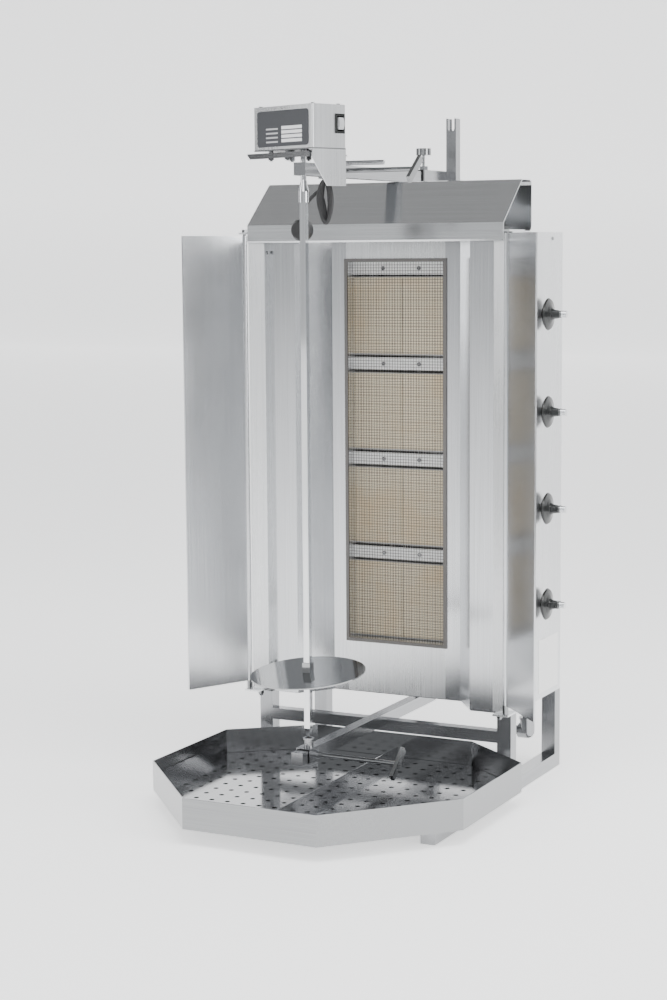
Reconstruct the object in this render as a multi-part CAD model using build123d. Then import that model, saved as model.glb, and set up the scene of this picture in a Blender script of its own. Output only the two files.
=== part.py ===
from build123d import *
import math
import os

os.makedirs("parts", exist_ok=True)

# Vertical rotisserie broiler for gas.  Millimetres, +Z up, origin on the floor midway along the base.
# The spit and the drip tray are towards -Y, the gas knobs face +X, the casing stands towards +Y.

# ---- driving dimensions ----
frame_half_width = 240.0
frame_half_depth = 277.0
frame_tube = 25.0
arm_tube = 20.0
tube_wall = 1.5
sheet = 1.5
casing_bottom = 140.0
casing_top = 947.0
front_plane = 42.0
leg_front = 40.0
cross_rail_bottom = 89.5
arm_bottom = 102.0
running_gap = 0.3
joint_gap = 0.05
slack_gap = 1.0

tray_half_width = 281.0
tray_front = -441.0
tray_back = 88.0
tray_front_half = 117.0
tray_back_half = 150.0
tray_side_front = -261.0
tray_side_back = -14.0
tray_wall_height = 50.0
plate_lift = 4.8
hole_pitch_x = 29.0
hole_pitch_y = 32.0
hole_diameter = 8.5
divider_x = 12.5
divider_height = 22.0

window_half = 93.5
window_plane = 101.5
window_height = 667.0
window_top = casing_top - 46
window_bottom = window_top - window_height
stile_width = 28.0
flare_half = frame_half_width - 76
panel_half = frame_half_width - 26.5
recess_depth = 27.0

hood_half = frame_half_width - 3
hood_lip_y = 7.5
hood_lip_low = casing_top - 15
hood_lip_high = casing_top + 15
hood_ridge_y = 90.0
hood_ridge_z = casing_top + 86.5
hood_back_y = 134.5

burner_count = 4
burner_pitch = 166.7
top_burner_z = window_top - 96
plaque_height = 132.0
plaque_width = 92.0
plaque_thick = 12.0
wire_diameter = 0.8
wire_pitch = 5.0

knob_y = 181.0
knob_radius = 27.5
grip_thick = 12.0
grip_width = 20.0
spindle_radius = 4.0
knob_press = 3.0
gas_x = frame_half_width - 25
gas_radius = 8.0

wing_width = 128.0
wing_bottom = 163.5
wing_top = casing_top - 2.5
wing_hinge_x = frame_half_width + 3
wing_hinge_y = 8.0
left_wing_angle = 26.2
right_wing_angle = 42.6
hinge_pin_radius = 3.0

spit_y = -237.0
spit_bar = 10.0
spit_tip_z = 134.6
spit_cone_z = 154.0
spit_top_z = casing_top + 55
disc_radius = 93.0
disc_z = 243.5
disc_thick = 2.0
disc_lean = 5.5
disc_lean_way = -107.0
coupling_low_z = casing_top + 46
coupling_top_z = casing_top + 81

top_arm_bottom = casing_top + 87.5
top_arm_front = spit_y - 14.0
top_tube_front = frame_half_depth - 79
top_tube_back = frame_half_depth + 48
top_arm_back = frame_half_depth - 37
mast_width = 19.0
mast_top = casing_top + 203
mast_stand_off = 16.0
sleeve_length = 40.0
sleeve_clearance = 0.1
top_sleeve_front = -162.0
bottom_sleeve_front = spit_y - sleeve_length / 2
bottom_arm_front = spit_y - 41
bottom_arm_back = frame_half_depth - 27

motor_width = 138.0
motor_depth = 69.0
motor_height = 66.0
motor_shift = -7.0
motor_shift_back = -1.5
motor_bottom = casing_top + 128
motor_top = motor_bottom + motor_height
motor_turn = -21.0
shelf_z = motor_bottom - 5
shelf_lip = 8.5
rod_radius = 3.8
top_rod_reach = 144.0
bottom_rod_reach = 155.0
t_bar_length = 57.0
t_bar_width = 12.0
t_bar_thick = 6.0

cord_radius = 3.0


# ---- helpers ----
def block(x0, x1, y0, y1, z0, z1):
    """A box between two corners."""
    centre = ((x0 + x1) / 2, (y0 + y1) / 2, (z0 + z1) / 2)
    return Pos(*centre) * Box(abs(x1 - x0), abs(y1 - y0), abs(z1 - z0))


def rod(x, y, z, radius, length, axis="Z"):
    """A round bar that starts at a point and runs along +axis."""
    turn = {"Z": Rot(0, 0, 0), "X": Rot(0, 90, 0), "Y": Rot(-90, 0, 0)}[axis]
    return Pos(x, y, z) * turn * Pos(0, 0, length / 2) * Cylinder(radius, length)


def square_tube(x0, x1, y0, y1, z0, z1, axis, wall=tube_wall):
    """A square tube, open along the named axis."""
    grow = {"X": (1, 0, 0), "Y": (0, 1, 0), "Z": (0, 0, 1)}[axis]
    inset = [wall * (1 - g) - g for g in grow]
    inner = block(
        x0 + inset[0], x1 - inset[0], y0 + inset[1], y1 - inset[1], z0 + inset[2], z1 - inset[2]
    )
    return block(x0, x1, y0, y1, z0, z1) - inner


def capped_tube(x0, x1, y0, y1, z0, z1):
    """A square tube along Y with a plate welded over its front end."""
    return square_tube(x0, x1, y0, y1, z0, z1, "Y") + block(x0, x1, y0, y0 + tube_wall, z0, z1)


def set_over(points, thickness):
    """A line of points moved over to its left by the thickness, with mitred corners."""
    lefts = []
    for i, point in enumerate(points):
        before = points[max(i - 1, 0)]
        after = points[min(i + 1, len(points) - 1)]
        normals = []
        for start, end in ((before, point), (point, after)):
            length = math.dist(start, end)
            if length > 0:
                normals.append(((start[1] - end[1]) / length, (end[0] - start[0]) / length))
        nx = sum(n[0] for n in normals) / len(normals)
        ny = sum(n[1] for n in normals) / len(normals)
        scale = thickness / (nx * nx + ny * ny)
        lefts.append((point[0] + nx * scale, point[1] + ny * scale))
    return lefts


def bent_strip(points, thickness):
    """The outline of a folded sheet: the line of points and its copy set over to the left."""
    return make_face(Polyline(*points, *reversed(set_over(points, thickness)), close=True))


def upright(points, thickness, z0, z1):
    """A folded sheet that stands upright, drawn in plan."""
    return Pos(0, 0, z0) * extrude(bent_strip(points, thickness), z1 - z0)


def across(points, thickness, x0, x1):
    """A folded sheet that runs along X, drawn in the YZ plane."""
    plane = Plane(origin=(x0, 0, 0), x_dir=(0, 1, 0), z_dir=(1, 0, 0))
    return extrude(plane * bent_strip(points, thickness), x1 - x0)


def mirrored(shape):
    """The same piece on the other side of the machine."""
    return mirror(shape, about=Plane.YZ)


def save(name, shapes):
    """Writes one node: one solid, or a group of separate solids."""
    pieces = shapes if isinstance(shapes, list) else [shapes]
    solids = [s for piece in pieces for s in piece.solids()]
    node = solids[0] if len(solids) == 1 else Compound(children=solids)
    node.label = name
    export_step(node, f"parts/{name}.step")


# ---- base frame ----
rail_inner = frame_half_width - frame_tube
rail = capped_tube(rail_inner, frame_half_width, -frame_half_depth, frame_half_depth, 0, frame_tube)
save("side_rails", [rail, mirrored(rail)])

leg = square_tube(
    rail_inner, frame_half_width, leg_front, leg_front + frame_tube,
    frame_tube, casing_bottom, "Z",
)

rear_post = square_tube(
    rail_inner, frame_half_width, frame_half_depth - frame_tube, frame_half_depth,
    frame_tube, casing_bottom, "Z",
)
save("legs", [leg, mirrored(leg), rear_post, mirrored(rear_post)])

cross_rail = square_tube(
    -rail_inner, rail_inner, leg_front, leg_front + arm_tube,
    cross_rail_bottom, cross_rail_bottom + arm_tube, "X",
)
cross_rail -= block(
    -arm_tube / 2, arm_tube / 2, leg_front - 5, leg_front + arm_tube + 5,
    arm_bottom, arm_bottom + arm_tube,
)
middle_rail = square_tube(
    -rail_inner, rail_inner, -frame_tube / 2, frame_tube / 2, 0, frame_tube, "X"
)
save("cross_rails", [cross_rail, middle_rail])

save("bottom_arm", capped_tube(
    -arm_tube / 2, arm_tube / 2, bottom_arm_front, bottom_arm_back, arm_bottom, arm_bottom + arm_tube
))
hanger = block(-18, 18, bottom_arm_back - 30, bottom_arm_back, arm_bottom + arm_tube, casing_bottom)
tube_stand = square_tube(
    -arm_tube / 2, arm_tube / 2, 235, 255, casing_top, top_arm_bottom - 2.5, "Z"
)
save("arm_supports", [hanger, tube_stand])

# ---- casing ----
half = frame_half_width
depth = frame_half_depth
wrap_points = [
    (half, leg_front), (half, depth), (-half, depth), (-half, leg_front),
]
wrap = upright(wrap_points, sheet, casing_bottom, casing_top)
knob_zs = [top_burner_z + 3 - burner_pitch * k for k in range(burner_count)]
for z in knob_zs:
    wrap -= rod(half - 5, knob_y, z, spindle_radius + 1.5, 10, "X")
save("casing_wrap", wrap)

inside = half - sheet
# Folded front: stile beside the window, flare out to the front, flat panel, short return.
front_points = [
    (window_half, window_plane), (window_half + stile_width, window_plane),
    (flare_half, front_plane), (panel_half, front_plane), (panel_half, front_plane + 14),
]
flare_inside = set_over(front_points, sheet)[1:3]
lid_points = [
    (0, flare_inside[0][1]), *flare_inside, (inside, flare_inside[1][1]), (inside, depth - sheet),
]
lid_half = make_face(Polyline(*lid_points, (0, depth - sheet), close=True))
lid = extrude(lid_half + mirrored(lid_half), sheet)
casing_lid = Pos(0, 0, casing_top - sheet) * lid
riser_hole = rod(gas_x, knob_y, casing_bottom - 5, gas_radius + 1, 20)
casing_floor = Pos(0, 0, casing_bottom) * lid - riser_hole
save("casing_lids", [casing_lid, casing_floor])

front_top = casing_top - sheet
front_low = casing_bottom + sheet
reflector = upright(front_points, sheet, front_low, front_top)
save("reflectors", [reflector, mirrored(reflector)])

header = block(-window_half, window_half, window_plane, window_plane + sheet,
               window_top, front_top)
lower = block(-window_half, window_half, window_plane, window_plane + sheet,
              front_low, window_bottom)
save("window_panels", [header, lower])

# Liner of the window recess: four walls that run back to the burners.
liner_back = window_plane + sheet + recess_depth
liner = block(-window_half, window_half, window_plane + sheet, liner_back,
              window_bottom, window_top)
liner -= block(-window_half + sheet, window_half - sheet, window_plane, liner_back + 5,
               window_bottom + sheet, window_top - sheet)
save("recess_liner", liner)

hood_points = [
    (hood_lip_y + 5, hood_lip_low), (hood_lip_y + 2, hood_lip_low),
    (hood_lip_y, hood_lip_low + 3), (hood_lip_y, hood_lip_high),
    (hood_ridge_y - 5, hood_ridge_z - 4.3), (hood_ridge_y, hood_ridge_z - 0.8),
    (hood_ridge_y + 5, hood_ridge_z),
    (hood_back_y - 9, hood_ridge_z), (hood_back_y - 2.5, hood_ridge_z - 2.5),
    (hood_back_y, hood_ridge_z - 9), (hood_back_y, casing_top + 9),
    (hood_back_y - 3, casing_top + 3), (hood_back_y - 10, casing_top),
    (hood_back_y - 30, casing_top),
]
hood = across(list(reversed(hood_points)), sheet, -hood_half, hood_half)
save("hood", hood)

# ---- burners, guard and gas train ----
burner_zs = [top_burner_z - burner_pitch * k for k in range(burner_count)]
seam = 0.6
mixing_end = 169.0
plaques = []
bodies = []
for z in burner_zs:
    low = z - plaque_height / 2
    high = z + plaque_height / 2
    back = liner_back + plaque_thick
    plaques.append(block(seam, seam + plaque_width, liner_back, back, low, high))
    plaques.append(block(-seam - plaque_width, -seam, liner_back, back, low, high))
    shell = block(-98, 98, liner_back, back + 34, low - 2, high + 2)
    shell -= block(-93, 93, liner_back - 1, back, low - 0.2, high + 0.2)
    shell -= block(-88, 88, back - 1, back + 32, low + 5, high - 5)
    mixing = rod(97, back + 17, z, 11, mixing_end - 97, "X") - rod(90, back + 17, z, 9.5, 90, "X")
    bodies.append(shell - rod(90, back + 17, z, 9.5, 90, "X") + mixing)
save("burner_plaques", plaques)
save("burner_bodies", bodies)

strip_zs = [z - burner_pitch / 2 for z in burner_zs[:-1]]
strip_zs.append(window_top - 14)
strips = []
screws = []
strip_half = window_half - sheet
for z in strip_zs:
    strip = block(-strip_half, strip_half, liner_back - 4, liner_back - 2.5, z - 11, z + 11)
    for x in (-34, 34):
        strip -= rod(x, liner_back - 6, z, 2, 5, "Y")
        screws.append(rod(x, liner_back - 6, z, 3.6, 2, "Y") + rod(x, liner_back - 5, z, 2, 6, "Y"))
    strips.append(strip)
save("burner_strips", strips)

guard_out = window_half + 3
guard_in = window_half - 3
guard_low = window_bottom - 3
guard_high = window_top + 3
guard_front = window_plane - 3
guard = block(-guard_out, guard_out, guard_front, window_plane, guard_low, guard_high)
guard -= block(-guard_in, guard_in, guard_front - 1, window_plane + 1, guard_low + 6, guard_high - 6)
wires = []
wire = wire_diameter / 2
columns = int(2 * guard_in / wire_pitch)
rows = int((guard_high - guard_low - 12) / wire_pitch)
for k in range(1, columns):
    x = -guard_in + k * 2 * guard_in / columns
    wires.append(rod(x, guard_front + 1, guard_low + 6, wire, guard_high - guard_low - 12))
for k in range(1, rows):
    z = guard_low + 6 + k * (guard_high - guard_low - 12) / rows
    wires.append(rod(-guard_in, guard_front + 2, z, wire, 2 * guard_in, "X"))
save("guard", [guard, *wires])

manifold_top = knob_zs[0] + 24
manifold = block(gas_x - gas_radius, gas_x + gas_radius, knob_y - gas_radius, knob_y + gas_radius,
                 knob_zs[-1] - 24, manifold_top)
manifold -= block(gas_x - 6, gas_x + 6, knob_y - 6, knob_y + 6, knob_zs[-1] - 22, manifold_top - 2)
manifold -= rod(gas_x, knob_y, knob_zs[-1] - 30, 5, 20)
save("gas_manifold", manifold)

inlet_z = 80.0
inlet_run = 46.0
elbow_radius = 12.8
riser = rod(gas_x, knob_y, inlet_z, gas_radius, knob_zs[-1] - 24 - inlet_z)
elbow = Pos(gas_x, knob_y, inlet_z) * Sphere(elbow_radius)
elbow += rod(gas_x, knob_y, inlet_z, elbow_radius, 25) + rod(gas_x, knob_y, inlet_z + 21, 14.2, 4)
elbow += rod(gas_x - 15, knob_y, inlet_z, elbow_radius, 15, "X")
inlet_pipe = rod(gas_x - inlet_run, knob_y, inlet_z, gas_radius, inlet_run, "X")
gas_inlet = riser + elbow + inlet_pipe
gas_inlet -= rod(gas_x - inlet_run - 1, knob_y, inlet_z, 5, inlet_run + 1, "X")
gas_inlet -= rod(gas_x, knob_y, inlet_z, 5, knob_zs[-1])
save("gas_inlet", gas_inlet)

plug_radius = 6.0
valve_back = gas_x + gas_radius
valve_front = half - sheet
plug_back = valve_back + 3
plug_front = valve_front - 3.5
cap_gap = 0.3
bezel_thick = 4.0
knob_back = half + bezel_thick + knob_press + running_gap
grip_end = knob_back + 26
tip_length = 10.0
feed_y = knob_y - 15 - 8
valves = []
bezels = []
for z in knob_zs:
    valve = block(valve_back, valve_front, knob_y - 15, knob_y + 15, z - 15, z + 15)
    valve -= rod(plug_back, knob_y, z, plug_radius + joint_gap, plug_front - plug_back + joint_gap, "X")
    valve -= rod(plug_front, knob_y, z, spindle_radius + joint_gap, 40, "X")
    feed = block(valve_back, valve_front, feed_y - 8, feed_y + 8, z - 8, z + 8)
    feed += rod(mixing_end + 3, feed_y, z, 4, valve_back + 2 - mixing_end - 3, "X")
    valves.append(valve + feed)
    ring = rod(half, knob_y, z, 7.5, bezel_thick, "X")
    bezels.append(ring - rod(half - 1, knob_y, z, spindle_radius + joint_gap, 10, "X"))
save("valve_bodies", valves)
save("knob_bezels", bezels)

# Outline of the knob skirt from the axis out: a flat back, a round rim and a hollow front.
skirt_points = [
    (0, 0), (knob_radius - 4, 0), (knob_radius, 3), (knob_radius - 2, 5.5), (knob_radius - 10, 7.5),
    (grip_thick / 2 + 5, 10), (grip_thick / 2 + 2, 14), (grip_thick / 2 + 1, 21), (0, 21),
]
skirt_face = make_face(Polyline(*skirt_points, close=True))
skirt_form = revolve(Plane.XZ * skirt_face, Axis.Z)

for number, z in enumerate(knob_zs, start=1):
    spindle = rod(plug_front, knob_y, z, spindle_radius, grip_end + cap_gap - plug_front, "X")
    spindle += rod(plug_back + running_gap, knob_y, z, plug_radius, plug_front - plug_back - running_gap, "X")
    spindle += rod(grip_end + cap_gap, knob_y, z, grip_thick / 2 - 0.3, tip_length, "X")
    save(f"spindle_{number}", spindle)
    grip = block(knob_back + 8, grip_end, knob_y - grip_width / 2, knob_y + grip_width / 2,
                 z - grip_thick / 2, z + grip_thick / 2)
    grip = fillet(grip.edges().filter_by(Axis.X), 4)
    knob = Pos(knob_back, knob_y, z) * Rot(0, 90, 0) * skirt_form + grip
    save(f"knob_{number}", knob - rod(knob_back - 1, knob_y, z, spindle_radius + joint_gap, 60, "X"))

# ---- hinged wings ----
post_top = casing_top - 2.5
# A folded column each side, from the front panel forward to the hinge and back to the side wall.
post_points = [
    (panel_half, front_plane + 14), (panel_half, front_plane - 17),
    (half, wing_hinge_y + 7), (half, leg_front),
]
bracket_z = casing_bottom + 5
post = upright(post_points, sheet, bracket_z + 3, post_top)
bracket_top = bracket_z + 3
low_bracket = block(half - 18, wing_hinge_x + 7, wing_hinge_y - 7, leg_front, bracket_z, bracket_top)
high_bracket = block(hood_half + 0.3, wing_hinge_x + 7, wing_hinge_y - 7, 70, casing_top, casing_top + 3)
pin_hole = rod(wing_hinge_x, wing_hinge_y, 0, hinge_pin_radius, 1200)
low_bracket -= pin_hole
high_bracket -= pin_hole
right_mounts = [post, low_bracket, high_bracket]
save("hinge_mounts", right_mounts + [mirrored(piece) for piece in right_mounts])


def hex_nut(x, y, z, across_flats, height):
    """A hexagon nut without its hole."""
    prism = extrude(RegularPolygon(across_flats / 2, 6, major_radius=False), height)
    return Pos(x, y, z) * prism


low_pin = rod(wing_hinge_x, wing_hinge_y, bracket_z, hinge_pin_radius, wing_bottom + 20 - bracket_z)
low_pin += rod(wing_hinge_x, wing_hinge_y, bracket_top, 5, wing_bottom - bracket_top - running_gap)
bolt_x = half - 12.5
bolt_y = wing_hinge_y + 12
bolt_low = bracket_z - 6
bracket_bolt = hex_nut(bolt_x, bolt_y, bolt_low, 10, 6) + Pos(bolt_x, bolt_y, bolt_low) * Sphere(4.6)
high_pin = rod(wing_hinge_x, wing_hinge_y, wing_top - 20, hinge_pin_radius, casing_top + 3 - wing_top + 20)
high_pin += hex_nut(wing_hinge_x, wing_hinge_y, casing_top + 3, 9, 5)
right_pins = [low_pin, high_pin, bracket_bolt]
save("hinge_pins", right_pins + [mirrored(piece) for piece in right_pins])

knuckle = 4.6


def wing(angle):
    """The right wing at an angle out from straight ahead, with its rolled hinge edge and its hem."""
    panel = block(-sheet / 2, sheet / 2, -wing_width, -knuckle + 0.5, wing_bottom, wing_top)
    hem = block(sheet / 2, sheet * 1.5, -wing_width, -wing_width + 12, wing_bottom, wing_top)
    roll = rod(0, 0, wing_bottom, knuckle, wing_top - wing_bottom)
    roll -= rod(0, 0, 0, hinge_pin_radius + joint_gap, 1200)
    return Pos(wing_hinge_x, wing_hinge_y, 0) * Rot(0, 0, angle) * (panel + hem + roll)


save("right_wing", wing(right_wing_angle))
save("left_wing", mirrored(wing(left_wing_angle)))

# ---- upper arm, its fixed tube and the rest post ----
arm_half = arm_tube / 2
top_arm_top = top_arm_bottom + arm_tube
tube_half = arm_half + 2.5
tube_low = top_arm_bottom - 2.5
tube_high = top_arm_top + 2.5
top_tube = block(-tube_half, tube_half, top_tube_front, top_tube_back, tube_low, tube_high)
arm_fit = arm_half + sleeve_clearance / 2
arm_space = block(-arm_fit, arm_fit, top_tube_front - 5, top_tube_back + 5,
                  top_arm_bottom - joint_gap, top_arm_top + joint_gap)
thumb_y = top_tube_front + 24
thumb_hole = rod(0, thumb_y, top_arm_top, 2.5 + joint_gap, 30)
top_tube = top_tube - arm_space - thumb_hole
insert = block(-tube_half, tube_half, top_tube_front - 5, top_tube_front, tube_low, tube_high)
save("tube_insert", insert - arm_space)
boss = hex_nut(0, thumb_y, tube_high, 14, 7) - thumb_hole
save("top_tube", top_tube + boss)
thumb_base = top_arm_top + running_gap
thumb = rod(0, thumb_y, thumb_base, 2.5, tube_high + 27 - thumb_base)
thumb += rod(0, thumb_y, tube_high + 26, 13, 12)
save("thumb_screw", thumb)

mast_left = tube_half
mast_front = depth + mast_stand_off
mast_low = casing_top - 327
mast = square_tube(
    mast_left, mast_left + mast_width, mast_front, mast_front + mast_width, mast_low, mast_top, "Z"
)
mast_middle = mast_left + mast_width / 2
notch_z = mast_top - 17
notch = rod(mast_middle, mast_front - 5, notch_z, 6.2, 40, "Y")
notch += block(mast_middle - 6.2, mast_middle + 6.2, mast_front - 5, mast_front + 35, notch_z, mast_top + 5)
save("mast", mast - notch)
mast_bolts = []
for z in (mast_low + 40, mast_low + 280):
    head = extrude(RegularPolygon(6.5, 6, major_radius=False), 5)
    mast_bolts.append(Pos(mast_middle, mast_front + mast_width, z) * Rot(-90, 0, 0) * head)
    mast_bolts.append(rod(mast_middle, depth, z, 7, mast_stand_off, "Y"))
# Screws of the hinge columns and of the side walls.
for z in (wing_bottom + 29, casing_top - 32):
    column_screw = rod(panel_half - 2, front_plane - 9, z, 3, 2, "X")
    screws += [column_screw, mirrored(column_screw)]
wall_screw = rod(half, depth - 51, casing_top - 11, 3, 1.5, "X")
screws += [wall_screw, mirrored(wall_screw)]
save("screws", screws + mast_bolts)
save("side_label", block(half, half + 0.5, knob_y - 12, depth - 14, casing_bottom + 10, casing_bottom + 104))

shaft_radius = 4.5
shaft_hole = rod(0, spit_y, top_arm_bottom - 5, shaft_radius + 0.5, arm_tube + 10)
save("top_arm", capped_tube(
    -arm_half, arm_half, top_arm_front, top_arm_back, top_arm_bottom, top_arm_top
) - shaft_hole)

# ---- carriages: the same clamp sleeve above and below ----


def clamp_sleeve(front, low, fit):
    """A sleeve round an arm with a threaded boss on its +X side."""
    middle = front + sleeve_length / 2
    high = low + arm_tube
    sleeve = block(-tube_half, tube_half, front, front + sleeve_length, low - 2.5, high + 2.5)
    sleeve += rod(tube_half - 0.5, middle, low + arm_half, 7, 8, "X")
    sleeve -= block(-arm_half - fit, arm_half + fit, front - 5, front + sleeve_length + 5,
                    low - fit, high + fit)
    return sleeve - rod(arm_half - 1, middle, low + arm_half, rod_radius + joint_gap, 40, "X")


def clamp_screw(front, low, reach, lean):
    """The clamp rod of a sleeve and the flat bar across its end."""
    middle = front + sleeve_length / 2
    axis_z = low + arm_half
    start = arm_half + running_gap
    screw = rod(start, middle, axis_z, rod_radius, reach - start, "X")
    bar = Rot(lean, 0, 0) * Box(t_bar_thick, t_bar_width, t_bar_length)
    return screw, Pos(reach + t_bar_thick / 2, middle, axis_z) * bar


top_sleeve = clamp_sleeve(top_sleeve_front, top_arm_bottom, 0)
screw, bar = clamp_screw(top_sleeve_front, top_arm_bottom, top_rod_reach, -52)
save("top_clamp", [screw, bar])
screw, bar = clamp_screw(bottom_sleeve_front, arm_bottom, bottom_rod_reach, -50)
save("bottom_clamp", [screw, bar])

cup_low = arm_bottom + arm_tube + 2.5
cup = rod(0, spit_y, cup_low, 8, spit_tip_z + 3.4 - cup_low) + rod(0, spit_y, spit_tip_z + 1.4, 9.5, 2)
cup -= rod(0, spit_y, spit_tip_z - running_gap, 5.5, 10)
save("bottom_sleeve", clamp_sleeve(bottom_sleeve_front, arm_bottom, slack_gap) + cup)

# ---- spit ----
bar = block(-spit_bar / 2, spit_bar / 2, spit_y - spit_bar / 2, spit_y + spit_bar / 2,
            spit_cone_z, spit_top_z)
point_low = Pos(0, spit_y, spit_tip_z) * Rectangle(1.6, 1.6)
point_high = Pos(0, spit_y, spit_cone_z) * Rectangle(spit_bar, spit_bar)
save("spit_bar", bar + loft(Sketch() + [point_low, point_high]))
square_hole = block(-spit_bar / 2 - joint_gap, spit_bar / 2 + joint_gap,
                    spit_y - spit_bar / 2 - joint_gap, spit_y + spit_bar / 2 + joint_gap, 0, spit_top_z)
lean_axis = Pos(0, spit_y, disc_z) * Rot(0, 0, disc_lean_way) * Rot(0, disc_lean, 0)
disc = lean_axis * Pos(0, 0, disc_thick / 2) * Cylinder(disc_radius, disc_thick)
collar_half = 6.8
collar = block(-collar_half, collar_half, spit_y - collar_half, spit_y + collar_half,
               disc_z + disc_thick, disc_z + disc_thick + 16)
save("meat_disc", disc + collar - square_hole)
coupling_radius = 8.2
cone_low_z = coupling_low_z + 17
cone_height = coupling_top_z - cone_low_z
coupling = rod(0, spit_y, coupling_low_z, coupling_radius, 17)
coupling += Pos(0, spit_y, cone_low_z + cone_height / 2) * Cone(coupling_radius, shaft_radius, cone_height)
coupling += rod(0, spit_y, coupling_top_z - 1, shaft_radius, motor_bottom + 11 - coupling_top_z)
save("spit_coupling", coupling - square_hole)

# ---- motor, turned a little on its shelf ----
seat = Pos(0, spit_y, 0) * Rot(0, 0, motor_turn)
box_left = motor_shift - motor_width / 2
box_right = motor_shift + motor_width / 2
box_back = motor_shift_back + motor_depth / 2
box_front = motor_shift_back - motor_depth / 2
base_low = motor_bottom - 2
shaft_space = rod(0, spit_y, shelf_z - 50, shaft_radius + 2.5, 60)
shell = block(box_left, box_right, box_front, box_back, motor_bottom, motor_top)
shell = fillet(shell.edges().filter_by(Axis.Z), 2)
shell -= block(box_left + sheet, box_right - sheet, box_front + sheet, box_back - sheet,
               motor_bottom - 5, motor_top - sheet)
switch_y = box_back - 13
switch_z = motor_bottom + 37
shell -= block(box_right - 5, box_right + 5, switch_y - 8, switch_y + 8, switch_z - 13, switch_z + 13)
save("motor_cover", seat * shell)
base = block(box_left, box_right, box_front, box_back, base_low, motor_bottom)
save("motor_base", seat * base - rod(0, spit_y, motor_bottom - 5, shaft_radius + joint_gap, 10))
gearbox = block(-38, 38, -24, 24, motor_bottom, motor_bottom + 24)
gearbox += block(-60, -10, -21, 21, motor_bottom + 24, motor_top - 6)
gearbox = seat * gearbox - rod(0, spit_y, motor_bottom - 5, shaft_radius + joint_gap, 16)
save("gearmotor", gearbox)
label = block(box_left + 9, box_right - 9, box_front - 0.8, box_front, motor_bottom + 4, motor_top - 7)
save("label_plate", seat * fillet(label.edges().filter_by(Axis.Y), 5))

housing = block(box_right - 18, box_right, switch_y - 7.8, switch_y + 7.8, switch_z - 12.8, switch_z + 12.8)
housing += block(box_right, box_right + 2, switch_y - 9.5, switch_y + 9.5, switch_z - 15, switch_z + 15)
housing -= block(box_right - 14, box_right + 6, switch_y - 6.3, switch_y + 6.3,
                 switch_z - 11.3, switch_z + 11.3)
save("switch_housing", seat * housing)
rocker_radius = 18.0
rocker_half = 4.8
rocker = rod(box_right - 12, switch_y - rocker_half, switch_z, rocker_radius, 2 * rocker_half, "Y")
rocker = rocker & block(box_right - 8, box_right + 9, switch_y - rocker_half, switch_y + rocker_half,
                        switch_z - 9, switch_z + 9)
save("rocker", seat * rocker)

cover_screws = []
for x in (box_left + 8, box_right - 8):
    for y in (box_front + 8, box_back - 8):
        cover_screws.append(seat * rod(x, y, motor_top, 3, 2))

# Shelf under the motor: a plate with a folded front edge, notched behind for the cable gland.
shelf_low = shelf_z - 2.5
shelf_left = box_left - 18.5
plate = block(shelf_left, 52, box_front + 3, box_back - 4, shelf_low, shelf_z)
plate += block(shelf_left, 52, box_front + 1.5, box_front + 3, shelf_z - shelf_lip, shelf_z)
plate -= block(28, 60, -14, box_back, shelf_low - 5, shelf_z + 5)
corner_cut = Pos(shelf_left, 0, shelf_z - shelf_lip) * Rot(0, 45, 0) * Box(9, motor_depth, 9)
plate = seat * (plate - corner_cut)
plate += block(-20, 20, spit_y + 10, top_sleeve_front + sleeve_length, shelf_low, shelf_z)
plate += block(-tube_half, tube_half, top_sleeve_front, top_sleeve_front + sleeve_length,
               top_arm_top + 2.5, shelf_z - 2)
handle_y = top_sleeve_front + 5
handle_route = FilletPolyline(
    (tube_half - 1, handle_y, top_arm_bottom + 2), (27, handle_y, top_arm_bottom + 2),
    (27, handle_y, top_arm_top + 1), (101, handle_y, top_arm_top + 1), radius=8,
)
handle_end = Plane(origin=handle_route @ 0, z_dir=handle_route % 0) * Circle(rod_radius)
handle = sweep(handle_end, path=handle_route)
save("shelf_bracket", plate + top_sleeve + handle - shaft_space)
bolts = []
for x in (-49, -10):
    for y in (-24, 20):
        bolts.append(seat * rod(x, y, shelf_z, 4, base_low - shelf_z))
        bolts.append(seat * (hex_nut(x, y, shelf_low - 8, 8, 8) + rod(x, y, shelf_low - 10, 2.5, 10)))
save("motor_fasteners", cover_screws + bolts)

# Heat shield hung below the right-hand end of the motor base, its front corner cut away.
shield_low = motor_bottom - 58
shield_plane = Plane(origin=(box_right - sheet, 0, 0), x_dir=(0, 1, 0), z_dir=(1, 0, 0))
shield_outline = Polyline(
    (box_front, base_low), (box_back, base_low), (box_back, shield_low), (box_front + 30, shield_low),
    (box_front, motor_bottom - 17), close=True,
)
shield = extrude(shield_plane * make_face(shield_outline), sheet)
shield += block(box_right - 9, box_right, box_front, box_back, base_low - sheet, base_low)
save("heat_shield", seat * shield)

# ---- mains lead, hung up in a hank, with its plug ----


def cord_tube(points):
    """A round cord along straight runs joined by tangent arcs."""
    radii = []
    for before, corner, after in zip(points, points[1:], points[2:]):
        first = Vector(*corner) - Vector(*before)
        second = Vector(*after) - Vector(*corner)
        half_turn = math.radians(first.get_angle(second)) / 2
        radii.append(0.45 * min(first.length, second.length) / math.tan(half_turn))
    route = FilletPolyline(*points, radius=radii)
    print("cord radii", [round(r, 1) for r in radii], "length", round(route.length, 1))
    section = Plane(origin=route @ 0, z_dir=route % 0) * Circle(cord_radius)
    return sweep(section, path=route)


gland_at = seat * Pos(42, 0, base_low)
gland_x = gland_at.position.X
gland_y = gland_at.position.Y
gland_low = base_low - 10
gland = hex_nut(gland_x, gland_y, gland_low + 5, 14, 5) + rod(gland_x, gland_y, gland_low, 5, 5)
save("cord_gland", gland)

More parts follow.
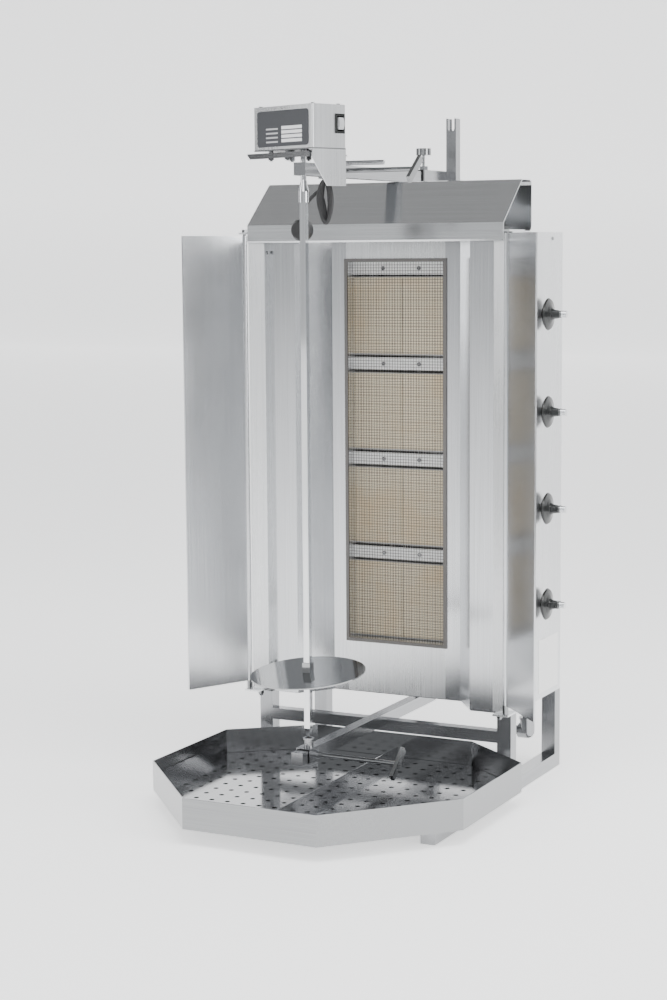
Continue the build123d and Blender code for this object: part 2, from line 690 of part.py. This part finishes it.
hank_x = 36.5
hank_y = spit_y + 2
hank_top = shelf_z - 38
hank_height = 76.0
hank_width = 33.0
hank_band = 8.5
hank_depth = 10.0
hank_face = SlotOverall(hank_height, hank_width) - SlotOverall(
    hank_height - 2 * hank_band, hank_width - 2 * hank_band
)
hank = extrude(hank_face, hank_depth / 2, both=True)
hank = Pos(hank_x, hank_y, hank_top - hank_height / 2) * Rot(90, 0, 0) * Rot(0, 0, 90) * hank
flat = block(hank_x - 30, hank_x + 30, hank_y - 10, hank_y + 10, hank_top - 0.6, hank_top + 5)
save("cord_hank", hank - flat)
lead = cord_tube([
    (gland_x, gland_y, gland_low), (gland_x, gland_y, gland_low - 12),
    (hank_x, hank_y, hank_top + 8.4), (hank_x, hank_y, hank_top - 0.6),
])
plug_x = -19.0
plug_y = spit_y + 30
plug_z = hank_top - 81.5
plug_body_radius = 17.0
tail_x = hank_x - hank_width / 2 + hank_band / 2
hank_back = hank_y + hank_depth / 2
tail = cord_tube([
    (tail_x, hank_back, hank_top - 16), (tail_x, hank_back + 12, hank_top - 16),
    (3, plug_y - 5, hank_top - 28), (plug_x, plug_y, hank_top - 49),
    (plug_x, plug_y, plug_z + plug_body_radius),
])
save("cord_runs", [lead, tail])
plug = rod(plug_x, plug_y - 6, plug_z, plug_body_radius, 12, "Y")
plug += Pos(plug_x, plug_y - 9, plug_z) * Rot(90, 0, 0) * Cone(plug_body_radius, 13, 6)
plug -= block(plug_x - 30, plug_x + 30, plug_y - 20, plug_y + 30,
              plug_z + plug_body_radius - 1, plug_z + 30)
plug += rod(plug_x, plug_y, plug_z + plug_body_radius - 6, 4.6, 6)
for side in (-9.5, 9.5):
    plug += rod(plug_x, plug_y + 5, plug_z + side, 2.4, 20, "Y")
save("cord_plug", plug)

# ---- drip tray and its two perforated plates ----
tray_low = frame_tube + running_gap


def tray_outline(inset):
    """Half of the tray in plan, x >= 0, drawn in from the rim by the inset."""
    cut = inset * 0.55
    return [
        (0, tray_front + inset), (tray_front_half - cut, tray_front + inset),
        (tray_half_width - inset, tray_side_front + cut),
        (tray_half_width - inset, tray_side_back - cut),
        (tray_back_half - cut, tray_back - inset), (0, tray_back - inset),
    ]


def tray_slab(inset, z0, z1):
    """A slab with the plan of the tray."""
    side = make_face(Polyline(*tray_outline(inset), close=True))
    return Pos(0, 0, z0) * extrude(side + mirrored(side), z1 - z0)


tray = tray_slab(0, tray_low, tray_low + tray_wall_height)
tray -= tray_slab(sheet, tray_low + sheet, tray_low + tray_wall_height + 5)
save("tray", tray)

plate_low = tray_low + sheet + plate_lift
plate_thick = 1.2
plate_outline = tray_slab(sheet + running_gap + 1, plate_low, plate_low + plate_thick)
inner_half = tray_half_width - sheet - running_gap - 1
inner_front = tray_front + 8
inner_back = tray_back - 8


def chamfer_room(x, y):
    """How far a point lies inside the sloping corners of the tray."""
    front_run = (tray_half_width - tray_front_half) / (tray_side_front - tray_front)
    back_run = (tray_half_width - tray_back_half) / (tray_back - tray_side_back)
    front_limit = tray_front_half + (y - tray_front) * front_run
    back_limit = tray_back_half + (tray_back - y) * back_run
    return min(front_limit, back_limit, inner_half) - abs(x)


def perforated(left, right):
    """One plate between two x values, with its drain holes and four pressed feet."""
    sheet_plate = plate_outline & block(left, right, tray_front, tray_back, plate_low - 5, plate_low + 5)
    circles = []
    steps_y = int((inner_back - inner_front) / hole_pitch_y)
    steps_x = int((right - left) / hole_pitch_x)
    for i in range(steps_x + 1):
        x = left + 14 + i * hole_pitch_x
        for k in range(steps_y + 1):
            y = inner_front + 10 + k * hole_pitch_y
            if x < right - 9 and y < inner_back - 4 and chamfer_room(x, y) > 16:
                circles.append(Pos(x, y, plate_low - 1) * Circle(hole_diameter / 2))
    sheet_plate -= extrude(Sketch() + circles, 4)
    for x in ((left * 3 + right) / 4 + 1.5, (left + right * 3) / 4 + 1.5):
        for y in (-300, -60):
            sheet_plate += rod(x, y, plate_low - plate_lift + running_gap, 3, plate_lift - running_gap)
    return sheet_plate


left_plate = perforated(-inner_half, divider_x - running_gap)
left_plate += block(-inner_half, -inner_half + 1.2, tray_side_front + 4, tray_side_back - 4,
                    plate_low, plate_low + divider_height)
right_plate = perforated(divider_x, inner_half)
right_plate += block(divider_x, divider_x + 1.2, tray_front + 60, tray_back - 12,
                     plate_low, plate_low + divider_height)
save("left_plate", left_plate)
save("right_plate", right_plate)
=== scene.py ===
import math

import bpy
from mathutils import Matrix, Vector


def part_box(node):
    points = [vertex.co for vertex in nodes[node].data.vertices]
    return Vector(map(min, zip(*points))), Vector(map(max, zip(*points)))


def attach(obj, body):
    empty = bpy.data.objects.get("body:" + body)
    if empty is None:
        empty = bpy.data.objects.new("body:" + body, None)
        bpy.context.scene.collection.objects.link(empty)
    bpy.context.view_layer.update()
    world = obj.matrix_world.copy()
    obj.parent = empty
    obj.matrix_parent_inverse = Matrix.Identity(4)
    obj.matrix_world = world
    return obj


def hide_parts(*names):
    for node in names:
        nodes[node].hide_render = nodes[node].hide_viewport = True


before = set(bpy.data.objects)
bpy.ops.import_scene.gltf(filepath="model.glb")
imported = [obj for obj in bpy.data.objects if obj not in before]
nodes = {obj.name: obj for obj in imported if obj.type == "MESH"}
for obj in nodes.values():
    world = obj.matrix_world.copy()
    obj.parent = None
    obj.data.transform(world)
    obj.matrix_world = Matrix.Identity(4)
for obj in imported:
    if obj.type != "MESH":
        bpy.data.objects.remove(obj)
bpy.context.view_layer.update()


def add_object(name, data):
    obj = bpy.data.objects.new(name, data)
    bpy.context.scene.collection.objects.link(obj)
    return obj


# ---- camera ----
AZIMUTH = math.radians(26.636)
PITCH = math.radians(6.993)
ROLL = math.radians(-0.42)
SENSOR = 36
PICTURE_HEIGHT = 1000
FOCAL = 2029.7 * SENSOR / PICTURE_HEIGHT
CAMERA_AT = Vector((1.47543, -3.08286, 0.91732))

forward = Vector((
    -math.sin(AZIMUTH) * math.cos(PITCH), math.cos(AZIMUTH) * math.cos(PITCH), -math.sin(PITCH)
))
right = Vector((math.cos(AZIMUTH), math.sin(AZIMUTH), 0))
up = right.cross(forward)
rolled_right = right * math.cos(ROLL) + up * math.sin(ROLL)
rolled_up = up * math.cos(ROLL) - right * math.sin(ROLL)
turn = Matrix((rolled_right, rolled_up, -forward)).transposed()
camera_data = bpy.data.cameras.new("camera")
camera_data.lens = FOCAL
camera_data.sensor_width = SENSOR
camera_data.sensor_fit = "AUTO"
camera_data.clip_end = 50
camera = add_object("camera", camera_data)
camera.matrix_world = Matrix.Translation(CAMERA_AT) @ turn.to_4x4()
bpy.context.scene.camera = camera

# ---- cord: from the gland, round the hank, then down to the plug ----
CORD = 0.006
mm = 0.001
gland_low, gland_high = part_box("cord_gland")
gland_x = (gland_low.x + gland_high.x) / 2
gland_y = (gland_low.y + gland_high.y) / 2
hank_x, hank_y, hank_top = 36.5, -235.0, 1032.0

# Route points are in millimetres.
route = [
    (gland_x / mm, gland_y / mm, gland_low.z / mm),
    (gland_x / mm, gland_y / mm, gland_low.z / mm - 12),
    (hank_x, hank_y, hank_top + 8.4),
    (hank_x, hank_y, hank_top - 4),
]
# Each turn of the hank is a tall loop that narrows towards the bottom. From turn to turn the
# loops shrink and move from front to back, and the wobble keeps the strands uneven.
STEPS_PER_TURN = 12
HANK_STEPS = 44
HANK_START = math.radians(60)
HANK_DROP = 38.2
HANK_HALF = 34.5
HANK_HALF_LOSS = 3.5
REACH = 13.4
REACH_LOSS = 9.0
WOBBLE = 0.5
WOBBLE_STEP = 1.7
BOTTOM_NARROWING = 0.28
BOTTOM_SHIFT = 1.6
BOTTOM_BELOW = -0.4
DEPTH_START = -2.4
DEPTH_TRAVEL = 5.6
for step in range(HANK_STEPS + 1):
    angle = HANK_START - 2 * math.pi * step / STEPS_PER_TURN
    turn_part = step / HANK_STEPS
    bend = math.sin(angle)
    reach = REACH - REACH_LOSS * turn_part + WOBBLE * math.sin(step * WOBBLE_STEP)
    narrow = 1.0 + BOTTOM_NARROWING * min(bend, 0)
    route.append((
        hank_x + BOTTOM_SHIFT * (bend < BOTTOM_BELOW) + reach * narrow * math.cos(angle),
        hank_y + DEPTH_START + DEPTH_TRAVEL * turn_part,
        hank_top - HANK_DROP + (HANK_HALF - HANK_HALF_LOSS * turn_part) * bend,
    ))
route += [
    (24.3, -230.0, 1016.0), (24.3, -218.0, 1016.0), (3.0, -212.0, 1004.0),
    (-19.0, -207.0, 983.0), (-19.0, -207.0, 967.5),
]


def nurbs(name, points, radius):
    data = bpy.data.curves.new(name, "CURVE")
    data.dimensions = "3D"
    spline = data.splines.new("NURBS")
    spline.points.add(len(points) - 1)
    for point, place in zip(spline.points, points):
        point.co = (*[value * mm for value in place], 1)
    spline.order_u = 3
    spline.use_endpoint_u = True
    spline.resolution_u = 10
    data.bevel_depth = radius
    data.bevel_resolution = 6
    data.use_fill_caps = True
    return add_object(name, data)


# ---- material helpers ----
def new_material(name):
    material = bpy.data.materials.new(name)
    material.use_nodes = True
    tree = material.node_tree
    return material, tree, tree.nodes["Principled BSDF"]


def add(tree, kind, **values):
    node = tree.nodes.new(kind)
    for key, value in values.items():
        setattr(node, key, value)
    return node


def object_coordinates(tree):
    return add(tree, "ShaderNodeTexCoord").outputs["Object"]


def stretched(tree, vector, scale):
    mapping = add(tree, "ShaderNodeMapping")
    mapping.inputs["Scale"].default_value = scale
    tree.links.new(vector, mapping.inputs["Vector"])
    return mapping.outputs["Vector"]


def noise(tree, vector, scale, detail=2):
    node = add(tree, "ShaderNodeTexNoise")
    node.inputs["Scale"].default_value = scale
    node.inputs["Detail"].default_value = detail
    tree.links.new(vector, node.inputs["Vector"])
    return node.outputs["Fac"]


def ramp(tree, source, low, high, ends=(0.0, 1.0)):
    """A colour that goes from low to high as the source goes between the two ends."""
    node = add(tree, "ShaderNodeValToRGB")
    for element, place, colour in zip(node.color_ramp.elements, ends, (low, high)):
        element.position = place
        element.color = (*colour, 1)
    tree.links.new(source, node.inputs["Fac"])
    return node.outputs["Color"]


def set_colour(tree, shader, colour):
    tree.links.new(colour, shader.inputs["Base Color"])


def set_roughness(tree, shader, source, low, high):
    band = add(tree, "ShaderNodeMapRange")
    band.inputs["To Min"].default_value = low
    band.inputs["To Max"].default_value = high
    tree.links.new(source, band.inputs["Value"])
    tree.links.new(band.outputs["Result"], shader.inputs["Roughness"])


def set_relief(tree, shader, source, strength, distance):
    relief = add(tree, "ShaderNodeBump")
    relief.inputs["Strength"].default_value = strength
    relief.inputs["Distance"].default_value = distance
    tree.links.new(source, relief.inputs["Height"])
    tree.links.new(relief.outputs["Normal"], shader.inputs["Normal"])


def tinted(colour, factor):
    return [min(1, c * factor) for c in colour]


def shifted(colour, step):
    return [min(1, max(0, c + step)) for c in colour]


# ---- materials ----
ALONG_GRAIN = 4
ACROSS_GRAIN = 900


def steel(name, axis, colour=(0.66, 0.67, 0.685), rough=(0.2, 0.36), grain=0.35, bump=0.05):
    """Brushed steel whose grain runs along one axis."""
    material, tree, shader = new_material(name)
    coords = object_coordinates(tree)
    stretch = [ALONG_GRAIN if letter == axis else ACROSS_GRAIN for letter in "XYZ"]
    fine = noise(tree, stretched(tree, coords, stretch), 1, detail=3)
    smudge = noise(tree, coords, 9, detail=5)
    mix = add(tree, "ShaderNodeMix", data_type="FLOAT")
    mix.inputs[0].default_value = grain
    tree.links.new(smudge, mix.inputs[2])
    tree.links.new(fine, mix.inputs[3])
    set_roughness(tree, shader, mix.outputs[0], *rough)
    set_colour(tree, shader, ramp(
        tree, fine, tinted(colour, 0.9), tinted(colour, 1.06), ends=(0.3, 0.7)
    ))
    set_relief(tree, shader, fine, bump, 0.0004)
    shader.inputs["Metallic"].default_value = 1.0
    return material


ROUGH_SPREAD = 0.07


def speckled(name, colour, spread, rough, scale=240, metallic=0.0, bump=0.15):
    """A matt or cast finish with fine speckle in colour, roughness and relief."""
    material, tree, shader = new_material(name)
    speckle = noise(tree, object_coordinates(tree), scale, detail=6)
    set_colour(tree, shader, ramp(
        tree, speckle, shifted(colour, -spread), shifted(colour, spread)
    ))
    set_roughness(tree, shader, speckle, rough - ROUGH_SPREAD, rough + ROUGH_SPREAD)
    set_relief(tree, shader, speckle, bump, 0.0003)
    shader.inputs["Metallic"].default_value = metallic
    return material


def barred(name, ground, fields):
    """A dark label with rows of blank bars: a field has its x start and end, its share of the
    row and its colour."""
    material, tree, shader = new_material(name)
    link = tree.links.new
    coords = object_coordinates(tree)
    axes = add(tree, "ShaderNodeSeparateXYZ")
    link(coords, axes.inputs["Vector"])

    def compute(operation, source, value):
        node = add(tree, "ShaderNodeMath", operation=operation)
        node.inputs[1].default_value = value
        link(source, node.inputs[0])
        return node.outputs[0]

    def product(first, second):
        node = add(tree, "ShaderNodeMath", operation="MULTIPLY")
        link(first, node.inputs[0])
        link(second, node.inputs[1])
        return node.outputs[0]

    def within(source, start, end):
        return product(
            compute("GREATER_THAN", source, start), compute("LESS_THAN", source, end)
        )

    height = axes.outputs["Z"]
    rows = compute("MULTIPLY", compute("SUBTRACT", height, LABEL_LOW), 1 / LABEL_ROW)
    part = compute("FRACT", rows, 0.0)
    inside = within(height, LABEL_LOW, LABEL_LOW + LABEL_ROWS * LABEL_ROW)
    colour = None
    for x_start, x_end, share, tone in fields:
        span = within(axes.outputs["X"], x_start, x_end)
        mask = product(product(inside, span), compute("LESS_THAN", part, share))
        paint = add(tree, "ShaderNodeMix", data_type="RGBA")
        paint.inputs[7].default_value = (*tone, 1)
        if colour is None:
            paint.inputs[6].default_value = (*ground, 1)
        else:
            link(colour, paint.inputs[6])
        link(mask, paint.inputs[0])
        colour = paint.outputs[2]
    set_colour(tree, shader, colour)
    set_roughness(tree, shader, noise(tree, coords, 60), 0.3, 0.5)
    return material


HOLES_PER_METRE = 330


def honeycomb(name):
    """Cream ceramic plaque with rows of burner holes and soft patches of heat tint."""
    material, tree, shader = new_material(name)
    coords = object_coordinates(tree)
    cells = add(tree, "ShaderNodeTexVoronoi", feature="F1")
    cells.inputs["Scale"].default_value = 1.0
    cells.inputs["Randomness"].default_value = 0.0
    tree.links.new(stretched(tree, coords, [HOLES_PER_METRE] * 3), cells.inputs["Vector"])
    distance = cells.outputs["Distance"]
    holes = ramp(tree, distance, (0.4, 0.31, 0.2), (0.82, 0.73, 0.55), ends=(0.26, 0.38))
    patches = noise(tree, coords, 11, detail=3)
    tint = ramp(tree, patches, (0, 0, 0), (0.7, 0.7, 0.7), ends=(0.5, 0.75))
    mix = add(tree, "ShaderNodeMix", data_type="RGBA")
    mix.inputs[7].default_value = (0.7, 0.52, 0.3, 1)
    tree.links.new(tint, mix.inputs[0])
    tree.links.new(holes, mix.inputs[6])
    set_colour(tree, shader, mix.outputs[2])
    set_relief(tree, shader, distance, 0.5, 0.0006)
    shader.inputs["Roughness"].default_value = 0.85
    return material


# Height of the lowest bar on the label, and the pitch and number of the rows.
LABEL_LOW = 1.085
LABEL_ROW = 0.0066
LABEL_ROWS = 4

upright_steel = steel("upright_steel", "Z", colour=(0.74, 0.75, 0.76))
frame_steel = steel("frame_steel", "Z", colour=(0.34, 0.345, 0.355), rough=(0.16, 0.3))
rail_steel = steel("rail_steel", "X", colour=(0.34, 0.345, 0.355), rough=(0.16, 0.3))
hood_steel = steel(
    "hood_steel", "X", colour=(0.7, 0.71, 0.72), rough=(0.12, 0.22), grain=0.2, bump=0.015
)
deep_steel = steel("deep_steel", "Y", colour=(0.36, 0.365, 0.375), rough=(0.14, 0.26))
tray_steel = steel(
    "tray_steel", "X", colour=(0.3, 0.305, 0.31), rough=(0.08, 0.18), grain=0.15, bump=0.01
)
plate_steel = steel(
    "plate_steel", "Y", colour=(0.4, 0.405, 0.415), rough=(0.06, 0.15), grain=0.15, bump=0.01
)
disc_steel = steel(
    "disc_steel", "Y", colour=(0.34, 0.345, 0.35), rough=(0.05, 0.12), grain=0.1, bump=0.006
)
dark_steel = steel(
    "dark_steel", "X", colour=(0.26, 0.265, 0.27), rough=(0.1, 0.22), grain=0.2, bump=0.01
)
wing_steel = steel(
    "wing_steel", "Z", colour=(0.6, 0.61, 0.625), rough=(0.13, 0.24), grain=0.3, bump=0.02
)
polish = steel("polish", "Z", colour=(0.78, 0.79, 0.8), rough=(0.03, 0.1), grain=0.1, bump=0.008)
# Near-black steel for the guard wires: this dark tone is painted shade for the shading that
# darkens the fine wire grid.
shaded_wire_steel = steel("shaded_wire_steel", "Z", colour=(0.16, 0.155, 0.15), rough=(0.35, 0.5))
white_steel = speckled("white_enamel", (0.86, 0.86, 0.85), 0.03, 0.35)
black_plastic = speckled("black_plastic", (0.012, 0.013, 0.013), 0.005, 0.24)
black_rubber = speckled("black_rubber", (0.014, 0.014, 0.015), 0.006, 0.42)
grey_plastic = speckled("grey_plastic", (0.4, 0.41, 0.42), 0.03, 0.4)
brass = speckled("brass", (0.62, 0.42, 0.16), 0.04, 0.32, metallic=1.0)
cast = speckled("cast_metal", (0.5, 0.5, 0.5), 0.05, 0.5, metallic=1.0)
label_finish = barred("label_finish", (0.035, 0.037, 0.042), [
    (-0.022, 0.0225, 0.74, (0.75, 0.75, 0.76)), (-0.056, -0.03, 0.36, (0.45, 0.45, 0.46)),
])
ceramic = honeycomb("plaque")

FINISHES = {
    upright_steel: "casing_wrap window_panels hinge_mounts motor_cover heat_shield recess_liner",
    frame_steel: "legs mast arm_supports gas_manifold gas_inlet",
    rail_steel: "cross_rails motor_base",
    hood_steel: "hood",
    deep_steel: "side_rails bottom_arm casing_lids top_tube top_arm shelf_bracket bottom_sleeve",
    tray_steel: "tray",
    plate_steel: "left_plate right_plate",
    disc_steel: "meat_disc",
    dark_steel: "top_clamp bottom_clamp hinge_pins motor_fasteners thumb_screw screws",
    wing_steel: "left_wing right_wing reflectors",
    polish: "spit_bar spit_coupling spindle_1 spindle_2 spindle_3 spindle_4",
    shaded_wire_steel: "guard",
    white_steel: "burner_strips side_label",
    black_plastic: "knob_1 knob_2 knob_3 knob_4 tube_insert knob_bezels switch_housing cord_gland",
    black_rubber: "cord_runs cord_hank cord_plug",
    grey_plastic: "rocker",
    brass: "valve_bodies",
    cast: "gearmotor burner_bodies",
    label_finish: "label_plate",
    ceramic: "burner_plaques",
}
for material, names in FINISHES.items():
    for name in names.split():
        mesh = nodes[name].data
        mesh.materials.clear()
        mesh.materials.append(material)

cord = nurbs("mains_lead", route, CORD / 2)
cord.data.materials.append(black_rubber)
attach(cord, "motor_carriage")
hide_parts("cord_runs", "cord_hank")


def measured(obj):
    """The length of a curve's own line."""
    depth = obj.data.bevel_depth
    obj.data.bevel_depth = 0
    mesh = bpy.data.meshes.new_from_object(obj)
    obj.data.bevel_depth = depth
    places = [v.co for v in mesh.vertices]
    total = sum((b - a).length for a, b in zip(places, places[1:]))
    bpy.data.meshes.remove(mesh)
    return total


print("cord length", measured(cord))

# ---- studio ----
# A pale floor that curves up into a far wall.
FLOOR_FRONT = -15.0
FLOOR_HALF_WIDTH = 18.0
WALL_Y = 15.0
WALL_TOP = 12.0
CURVE = 1.5
CURVE_STEP = 10
profile = [(FLOOR_FRONT, 0.0), (WALL_Y - CURVE, 0.0)]
for degrees in range(CURVE_STEP, 91, CURVE_STEP):
    angle = math.radians(degrees)
    profile.append((WALL_Y - CURVE + CURVE * math.sin(angle), CURVE - CURVE * math.cos(angle)))
profile.append((WALL_Y, WALL_TOP))
floor_mesh = bpy.data.meshes.new("floor")
verts = [(x, y, z) for y, z in profile for x in (-FLOOR_HALF_WIDTH, FLOOR_HALF_WIDTH)]
faces = [(2 * i, 2 * i + 1, 2 * i + 3, 2 * i + 2) for i in range(len(profile) - 1)]
floor_mesh.from_pydata(verts, [], faces)
floor = add_object("floor", floor_mesh)
for face in floor_mesh.polygons:
    face.use_smooth = True
paper, _, paper_shader = new_material("paper")
paper_shader.inputs["Base Color"].default_value = (0.97, 0.97, 0.97, 1)
paper_shader.inputs["Roughness"].default_value = 0.9
paper_shader.inputs["Emission Color"].default_value = (1, 1, 1, 1)
paper_shader.inputs["Emission Strength"].default_value = 0.95
floor_mesh.materials.append(paper)


def soft_light(name, place, aim, size, power):
    data = bpy.data.lights.new(name, "AREA")
    data.shape = "RECTANGLE"
    data.size, data.size_y = size
    data.energy = power
    obj = add_object(name, data)
    obj.location = place
    direction = Vector(aim) - Vector(place)
    obj.rotation_euler = direction.to_track_quat("-Z", "Y").to_euler()


soft_light("top", (0.9, -1.2, 3.6), (0, 0, 0.5), (2.6, 2.0), 100)
soft_light("left", (-3.0, -2.0, 1.8), (0, 0, 0.6), (1.6, 2.6), 60)
soft_light("right", (3.2, -0.6, 1.6), (0, 0, 0.6), (1.4, 2.6), 75)
soft_light("front", (1.2, -4.2, 2.2), (0, 0, 0.6), (2.4, 1.6), 35)

world = bpy.data.worlds.new("world")
bpy.context.scene.world = world
world.use_nodes = True
background = world.node_tree.nodes["Background"]
background.inputs["Color"].default_value = (0.93, 0.95, 0.97, 1)
background.inputs["Strength"].default_value = 0.68


# Dark cards stand outside the view, for the polished faces to mirror.
def card(name, x, y, z, width, height, turn_z, grey, tilt=0):
    mesh = bpy.data.meshes.new(name)
    w, h = width / 2, height / 2
    mesh.from_pydata([(-w, 0, -h), (w, 0, -h), (w, 0, h), (-w, 0, h)], [], [(0, 1, 2, 3)])
    obj = add_object(name, mesh)
    obj.location = (x, y, z)
    obj.rotation_euler = (math.radians(tilt), 0, math.radians(turn_z))
    obj.visible_camera = False
    material, _, shader = new_material(name)
    shader.inputs["Base Color"].default_value = (grey, grey, grey, 1)
    shader.inputs["Roughness"].default_value = 0.8
    mesh.materials.append(material)


card("card_left", -2.6, -1.2, 1.0, 1.2, 2.6, 70, 0.08)
card("card_right", 3.0, -1.6, 1.0, 1.2, 2.4, -60, 0.06)
card("card_above", -1.2, 0.2, 3.3, 2.4, 2.4, 0, 0.16, tilt=90)
card("card_front", -0.7, -4.4, 1.0, 0.7, 3.2, 10, 0.06)
